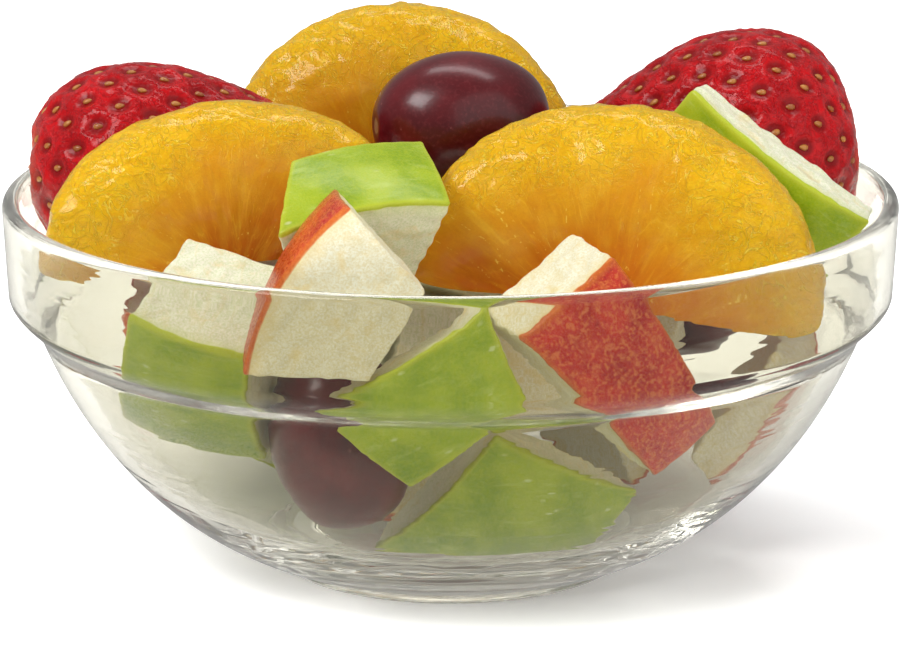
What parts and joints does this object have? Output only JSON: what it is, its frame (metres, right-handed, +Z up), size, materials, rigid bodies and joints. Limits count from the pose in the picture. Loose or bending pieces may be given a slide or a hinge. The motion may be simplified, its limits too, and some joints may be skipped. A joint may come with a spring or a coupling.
{
  "type": "fruit salad",
  "caption": "Fruit salad of mandarin segments, strawberries, grapes and green and red apple chunks, heaped above the rim of a clear stackable glass bowl.",
  "frame": {"origin": "centre of the bowl's foot ring, on the surface that the bowl stands on", "axes": "+Z up out of the bowl, -Y towards the side shown in the picture, +X to its right"},
  "size_m": [0.12, 0.12, 0.0709],
  "materials": {
    "glass": "clear, polished, fire-rounded rim",
    "mandarin": "wet, satin, fine juice sacs under a thin skin",
    "strawberry": "glossy, dimpled, with small yellow seeds",
    "grape": "smooth and glossy",
    "green_apple": "satin peel, moist cream flesh on the cut faces",
    "red_apple": "satin peel, moist cream flesh on the cut faces"
  },
  "bodies": {
    "root": {"bowl": "glass", "mandarin_left": "mandarin", "mandarin_back": "mandarin", "mandarin_right": "mandarin", "mandarin_rear": "mandarin", "strawberry_left": "strawberry", "strawberry_right": "strawberry", "grape_top": "grape", "grape_front": "grape", "grape_middle": "grape", "grape_low": "grape", "grape_right": "grape", "grape_inner": "grape", "apple_green_top": "green_apple", "apple_green_left": "green_apple", "apple_green_front": "green_apple", "apple_green_low": "green_apple", "apple_green_slice": "green_apple", "apple_green_rear": "green_apple", "apple_green_middle": "green_apple", "apple_green_floor": "green_apple", "apple_green_inner": "green_apple", "apple_green_rear_left": "green_apple", "apple_green_center": "green_apple", "apple_green_bed": "green_apple", "apple_red_front": "red_apple", "apple_red_right": "red_apple", "apple_red_middle": "red_apple", "apple_red_side": "red_apple", "apple_red_floor": "red_apple", "apple_red_left": "red_apple", "apple_red_rear": "red_apple", "apple_red_inner": "red_apple", "apple_red_rear_right": "red_apple", "apple_red_center": "red_apple", "apple_red_bed": "red_apple"}
  },
  "joints": []
}
